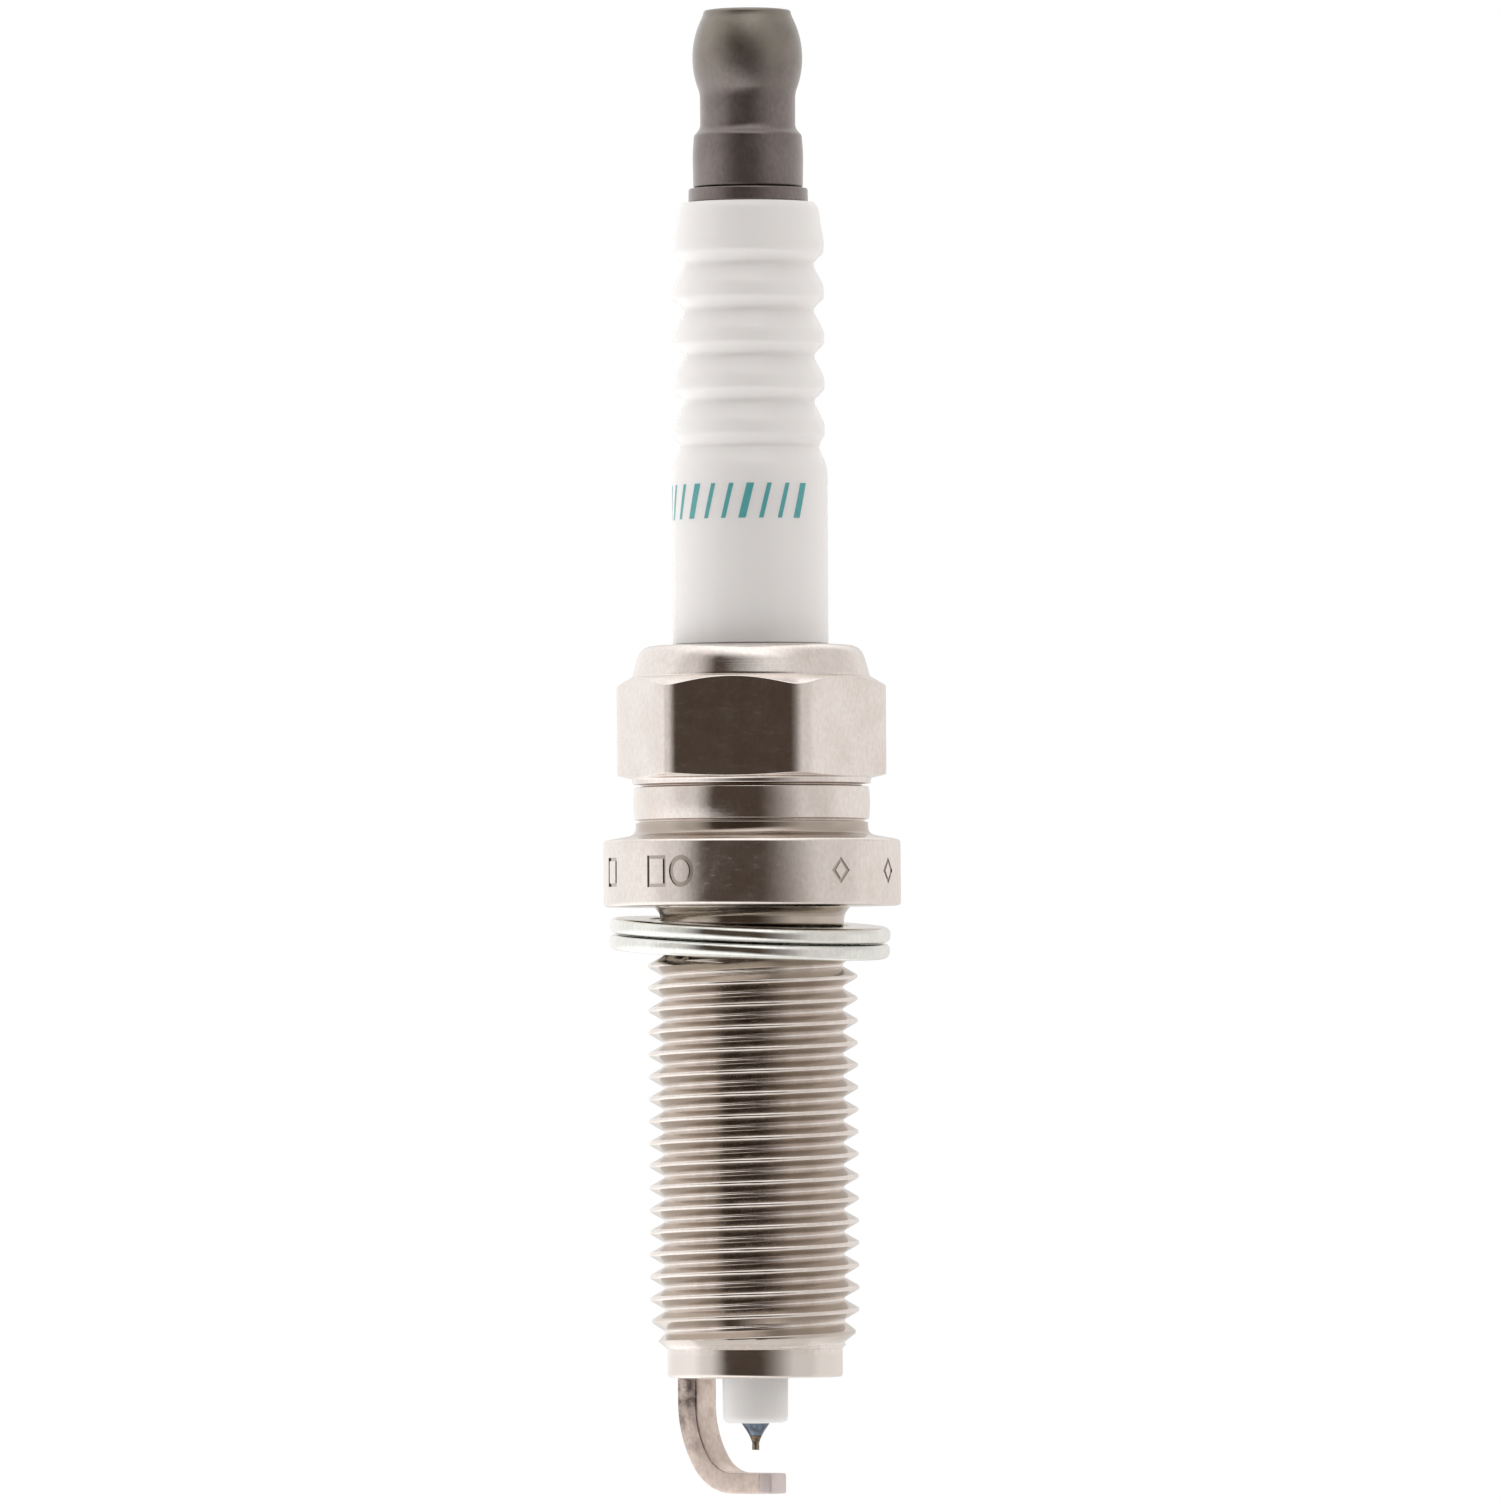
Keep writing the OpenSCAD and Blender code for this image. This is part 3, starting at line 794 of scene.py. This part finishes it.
# ---------------------------------------------------------------- the terminal
def make_terminal_nut():
    """The barrel-shaped head, the waist, the foot and the blind bore, which is plain."""
    head_curve = 5.0
    head_z = 47.83
    head_top_z = TERMINAL_TOP_Z - 0.35
    head_low_z = 46.0
    rows = 24
    side = []
    for i in range(rows + 1):
        z = head_top_z - i * (head_top_z - head_low_z) / rows
        r = TERMINAL_R - head_curve + math.sqrt(head_curve ** 2 - (z - head_z) ** 2)
        side.append((r, z))
    outline = soften([
        (0.0, TERMINAL_TOP_Z),
        (TERMINAL_R - 1.1, TERMINAL_TOP_Z - 0.02, 0.4),
        (TERMINAL_R - 0.62, TERMINAL_TOP_Z - 0.12, 0.15),
        side[0],
    ], 5)[:-1]
    outline += side[1:-1]
    outline += soften([
        side[-1],
        (2.69, 45.75, 0.25),
        (2.68, 43.85, 0.25),
        (TERMINAL_R - 0.06, 43.45, 0.1),
        (TERMINAL_R + 0.02, 42.4, 0.4),
        (TERMINAL_R - 0.01, NUT_LOW_Z, 0.14),
        (2.0, NUT_LOW_Z, 0.1),
        (2.0, STEM_TOP_Z + 0.2),
        (1.5, STEM_TOP_Z + 0.4),
        (0.0, STEM_TOP_Z + 0.4),
    ], 5)
    nut = lathe("terminal_nut_turned", outline, materials["terminal_steel"], 128, loop=False, sharp=40)
    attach(nut, "terminal_nut")
    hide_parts("terminal_nut")


STEM_THREAD = thread_profile(0.38, STEM_PITCH, 0.045, 0.03, 0.04)


def stem_r(middle, drop, z, angle):
    return STEM_R - max(drop, z - (STEM_TOP_Z - 0.4))


def stud_column(angle):
    """From the stem's top down its thread, round the flange and down the shank to the foot."""
    flange_z = NUT_LOW_Z - 0.05
    flange_r = 3.375
    shank_r = 1.65
    foot_r = 1.72
    foot_z = 11.0
    top = soften([
        (0.0, STEM_TOP_Z),
        (STEM_R - 0.45, STEM_TOP_Z, 0.1),
        (STEM_R - 0.5, STEM_TOP_Z - 0.1),
    ])
    low = soften([
        (STEM_R - 0.4, flange_z + 0.1),
        (STEM_R - 0.4, flange_z, 0.03),
        (flange_r - 0.02, flange_z, 0.1),
        (flange_r, CERAMIC_TOP_Z, 0.12),
        (shank_r, CERAMIC_TOP_Z),
        (shank_r, foot_z, 0.05),
        (foot_r, foot_z - 0.1),
        (foot_r, STUD_LOW_Z + 0.3),
        (foot_r - 0.3, STUD_LOW_Z),
        (0.0, STUD_LOW_Z),
    ])
    turns = helix(angle, tuple(top[-1]), tuple(low[0]), STEM_PITCH, flange_z, STEM_THREAD, stem_r)
    return [tuple(p) for p in top] + turns + [tuple(p) for p in low]


def make_stud():
    stud = turned(
        "terminal_stud_threaded", stud_column, materials["terminal_steel"], 96, loop=False, sharp=40
    )
    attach(stud, "root")
    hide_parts("terminal_stud")


# ---------------------------------------------------------------- the gasket
def gasket_outline():
    """A strip folded over on itself: two round-edged layers with a slit between them."""
    slit = 0.03
    return soften([
        (GASKET_HOLE_R + 0.8, GASKET_HALF_H),
        (GASKET_R - 0.02, GASKET_HALF_H, 0.42),
        (GASKET_R, slit, 0.4),
        (GASKET_HOLE_R + 0.5, slit, 0.03),
        (GASKET_HOLE_R + 0.5, -slit, 0.03),
        (GASKET_R, -slit, 0.4),
        (GASKET_R - 0.02, -GASKET_HALF_H, 0.42),
        (GASKET_HOLE_R, -GASKET_HALF_H, 0.2),
        (GASKET_HOLE_R, GASKET_HALF_H, 0.2),
        (GASKET_HOLE_R + 0.8, GASKET_HALF_H),
    ], 6)


def make_gasket():
    ring = lathe("gasket_folded", gasket_outline()[:-1], materials["gasket_zinc"], sharp=60)
    lean = Matrix.Rotation(GASKET_LOW_ANGLE, 4, "Z")
    tilt = lean @ Matrix.Rotation(GASKET_TILT, 4, "Y") @ lean.inverted()
    shift = Vector((math.cos(GASKET_SHIFT_ANGLE), math.sin(GASKET_SHIFT_ANGLE), 0)) * GASKET_SHIFT
    place = Matrix.Translation((shift + Vector((0, 0, GASKET_Z))) * MM)
    ring.data.transform(place @ tilt)
    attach(ring, "gasket")
    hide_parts("gasket")


# ---------------------------------------------------------------- the electrodes
def make_centre_electrode():
    """The head in the glass seal, the shaft and the taper to the melt ring."""
    head_r = 1.3
    head_z = -5.6
    taper_end_z = -29.78
    outline = soften([
        (0.0, head_z),
        (head_r, head_z),
        (head_r, -7.56),
        (ELECTRODE_R, -7.95),
        (ELECTRODE_R, NOSE_Z - 0.02, 0.05),
        (0.62, -29.36, 0.08),
        (0.47, -29.58, 0.08),
        (0.365, taper_end_z),
        (0.0, taper_end_z),
    ])
    electrode = lathe("centre_electrode_turned", outline, materials["tinted_alloy"], 96, loop=False)
    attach(electrode, "root")
    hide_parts("centre_electrode")


def make_tip():
    weld = lathe("tip_melt_ring", soften([
        (0.2, -29.79),
        (0.365, -29.79, 0.04),
        (0.27, -29.97, 0.05),
        (0.235, -30.1, 0.04),
        (0.205, -30.16),
        (0.2, -30.16),
    ]), materials["weld_metal"], 72)
    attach(weld, "root")
    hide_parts("tip_weld")
    tip = lathe("tip_wire", soften([
        (0.0, -29.9),
        (TIP_R, -29.9),
        (TIP_R, TIP_Z, 0.03),
        (0.0, TIP_Z),
    ]), materials["iridium"], 48, loop=False)
    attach(tip, "root")
    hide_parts("iridium_tip")


def strap_path():
    """Stations along the strap: the middle's (x, z) and the direction of its outer side."""
    wide_bend = 6.5
    wide_angle = math.radians(35)
    tight_bend = 3.2
    tight_x = STRAP_R - wide_bend + (wide_bend - tight_bend) * math.cos(wide_angle)
    tight_z = STRAP_LOW_Z + tight_bend
    wide_x = STRAP_R - wide_bend
    wide_z = tight_z + (wide_bend - tight_bend) * math.sin(wide_angle)
    half = STRAP_THICK / 2
    path = []
    for i in range(8):
        z = SHELL_END_Z + 0.1 + (wide_z - SHELL_END_Z - 0.1) * i / 8
        path.append((STRAP_R - half, z, 0.0))
    for i in range(12):
        a = wide_angle * i / 12
        r = wide_bend - half
        path.append((wide_x + r * math.cos(a), wide_z - r * math.sin(a), a))
    for i in range(18):
        a = wide_angle + (math.pi / 2 - wide_angle) * i / 18
        r = tight_bend - half
        path.append((tight_x + r * math.cos(a), tight_z - r * math.sin(a), a))
    for i in range(15):
        x = tight_x - (STRAP_FOOT_X + tight_x) * i / 14
        path.append((x, STRAP_LOW_Z + half, math.pi / 2))
    return path


def strap_section(scale_w, scale_t):
    """A rectangle with rounded edges, as (across, outward) points."""
    half_w = STRAP_WIDTH / 2 * scale_w
    half_t = STRAP_THICK / 2 * scale_t
    round_r = 0.1
    points = []
    for side, up, start in ((1, 1, 0), (-1, 1, 90), (-1, -1, 180), (1, -1, 270)):
        for i in range(5):
            a = math.radians(start + 90 * i / 4)
            points.append((
                side * (half_w - round_r) + round_r * math.cos(a),
                up * (half_t - round_r) + round_r * math.sin(a),
            ))
    return points


def strap_directions():
    """Unit vectors: outwards from the plug's axis at the strap, and across the strap."""
    out = Vector((math.cos(STRAP_ANGLE), math.sin(STRAP_ANGLE), 0))
    return out, Vector((-out.y, out.x, 0))


def make_ground_electrode():
    """The bent strap, thicker at its root, narrower and with worn corners at its foot."""
    out, across = strap_directions()
    up = Vector((0, 0, 1))
    foot_taper = 0.65
    stations = []
    for x, z, turn in strap_path():
        narrow = 1 - 0.26 * max(0, 1 - (x + STRAP_FOOT_X) / foot_taper)
        extra = (STRAP_ROOT_THICK / STRAP_THICK - 1) * (1 - turn / (math.pi / 2))
        inward = extra * STRAP_THICK / 2
        inner_x = x - inward * math.cos(turn)
        inner_z = z + inward * math.sin(turn)
        stations.append((inner_x, inner_z, turn, narrow, 1 + extra))
    x, z, turn, narrow, thick = stations[-1]
    stations[-1] = (x + 0.1, z, turn, narrow + 0.04, thick)
    stations.append((x + 0.03, z, turn, narrow, 0.93))
    stations.append((x, z, turn, narrow - 0.06, 0.84))
    rows = []
    for x, z, turn, narrow, thick in stations:
        normal = out * math.cos(turn) - up * math.sin(turn)
        middle = out * x + up * z
        rows.append([middle + across * s + normal * t for s, t in strap_section(narrow, thick)])
    columns = [[row[i] for row in rows] for i in range(len(rows[0]))]
    columns.append(columns[0])
    strap = skin("ground_electrode_bent", columns, materials["nickel_alloy"], loop=False, caps=True)
    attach(strap, "root")
    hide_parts("ground_electrode")


def make_strap_bead():
    """A thin lumpy ring of weld metal round the strap's root, under the shell's end."""
    out, across = strap_directions()
    middle = out * (STRAP_R - STRAP_ROOT_THICK / 2)
    sides = 48
    section = 9
    squareness = 0.55
    bead = []
    for i in range(sides + 1):
        a = 2 * math.pi * (i % sides) / sides
        lump = 0.05 * noise.noise(Vector((math.cos(a), math.sin(a), 0.3)) * 2.5)
        wide = STRAP_WIDTH / 2 + 0.05 + lump
        deep = STRAP_ROOT_THICK / 2 + lump
        s = wide * math.copysign(abs(math.cos(a)) ** squareness, math.cos(a))
        t = deep * math.copysign(abs(math.sin(a)) ** squareness, math.sin(a))
        column = []
        for j in range(section):
            b = 2 * math.pi * j / section
            grow = 1 + (0.09 + lump) * math.cos(b)
            z = SHELL_END_Z - 0.05 - (0.13 + lump) * math.sin(b)
            column.append(middle + across * s * grow + out * t * grow + Vector((0, 0, z)))
        bead.append(column)
    flash = skin("strap_weld_bead", bead, materials["nickel_alloy"])
    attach(flash, "root")


def finish_inner_nodes():
    """The sealed inner nodes keep their CAD shape and get their own materials."""
    inner = {
        "upper_glass_seal": "glass_seal",
        "lower_glass_seal": "glass_seal",
        "resistor": "resistor_mass",
        "electrode_core": "copper",
        "seat_washer": "copper",
        "upper_packing_ring": "packing_steel",
        "lower_packing_ring": "packing_steel",
        "talc_filling": "talc",
    }
    for node, material in inner.items():
        mesh = frame["nodes"][node].data
        mesh.materials.clear()
        mesh.materials.append(materials[material])


# ---------------------------------------------------------------- camera, light and floor
def make_camera():
    data = bpy.data.cameras.new("camera")
    camera = bpy.data.objects.new("camera", data)
    bpy.context.scene.collection.objects.link(camera)
    bpy.context.scene.camera = camera
    aside = CAMERA_RIGHT * VIEW_SIDE
    eye = CAMERA_TOWARD * CAMERA_DISTANCE + Vector((0, 0, CAMERA_Z)) + aside
    aim = Vector((0, 0, VIEW_Z)) + aside
    look = (aim - eye).to_track_quat("-Z", "Y").to_matrix().to_4x4()
    camera.matrix_world = Matrix.Translation(eye * MM) @ look @ Matrix.Rotation(ROLL, 4, "Z")
    data.sensor_width = 36
    data.lens = 36 * (aim - eye).length / VIEW_HEIGHT
    data.clip_start = 0.01
    data.clip_end = 20


def make_world():
    """A white studio tent with a dark flag round the camera. The camera itself sees plain white."""
    world = bpy.data.worlds.new("studio")
    bpy.context.scene.world = world
    world.use_nodes = True
    sky = Wiring(world.node_tree)
    direction = sky.tree.nodes.new("ShaderNodeTexCoord").outputs["Generated"]
    right = sky.dot(direction, CAMERA_RIGHT)
    up = sky.dot(direction, (0, 0, 1))

    flag = (0.078, 0.057, 0.044)
    dusk = (0.21, 0.185, 0.17)
    grey = (0.42, 0.39, 0.37)
    pale = (0.80, 0.77, 0.75)
    light = (0.97, 0.94, 0.92)
    white = (1.10, 1.08, 1.07)
    stops = (
        (-180, pale), (-165, white), (-89, white), (-75, pale), (-60, pale),
        (-48, grey), (-39, flag), (8, flag), (20, dusk), (33, grey),
        (52, pale), (80, pale), (94, light), (140, light), (180, pale),
    )
    turn = sky.math("ARCTAN2", right, sky.dot(direction, CAMERA_TOWARD))
    walls = sky.tree.nodes.new("ShaderNodeValToRGB")
    sky.put(sky.math("MULTIPLY_ADD", turn, 0.5 / math.pi, 0.5), walls.inputs["Fac"])
    band = walls.color_ramp
    while len(band.elements) < len(stops):
        band.elements.new(0.5)
    for element, (degrees, colour) in zip(band.elements, stops):
        element.position = degrees / 360 + 0.5
        element.color = (*colour, 1)

    overhead = (1.42, 1.40, 1.39)
    overhead_right = (0.82, 0.79, 0.77)
    ceiling = sky.mix(sky.ramp(right, 0.2, 0.65), overhead, overhead_right)
    lean = math.radians(20)
    low_gain = 1.25
    leaning = sky.math("MULTIPLY", right, math.sin(lean))
    slanted = sky.math("MULTIPLY_ADD", up, math.cos(lean), leaning)
    height = sky.math("MAXIMUM", slanted, sky.math("MULTIPLY", slanted, -low_gain))
    share = sky.ramp(height, math.sin(math.radians(22)), math.sin(math.radians(48)))
    tent = sky.mix(share, walls.outputs["Color"], ceiling)

    straight = sky.tree.nodes.new("ShaderNodeLightPath").outputs["Is Camera Ray"]
    sky.put(sky.mix(straight, tent, (1, 1, 1)), sky.tree.nodes["Background"].inputs["Color"])
    bpy.context.scene.view_settings.view_transform = "Standard"


def make_floor():
    grid = bmesh.new()
    bmesh.ops.create_circle(grid, cap_ends=True, radius=FLOOR_R * MM, segments=96)
    floor = finish_mesh("floor", grid, materials["pale_floor"])
    floor.location = (0, 0, FLOOR_Z * MM)


make_camera()
make_world()
make_floor()
make_shell()
make_insulator()
make_print()
make_terminal_nut()
make_stud()
make_gasket()
make_centre_electrode()
make_tip()
make_ground_electrode()
make_strap_bead()
finish_inner_nodes()
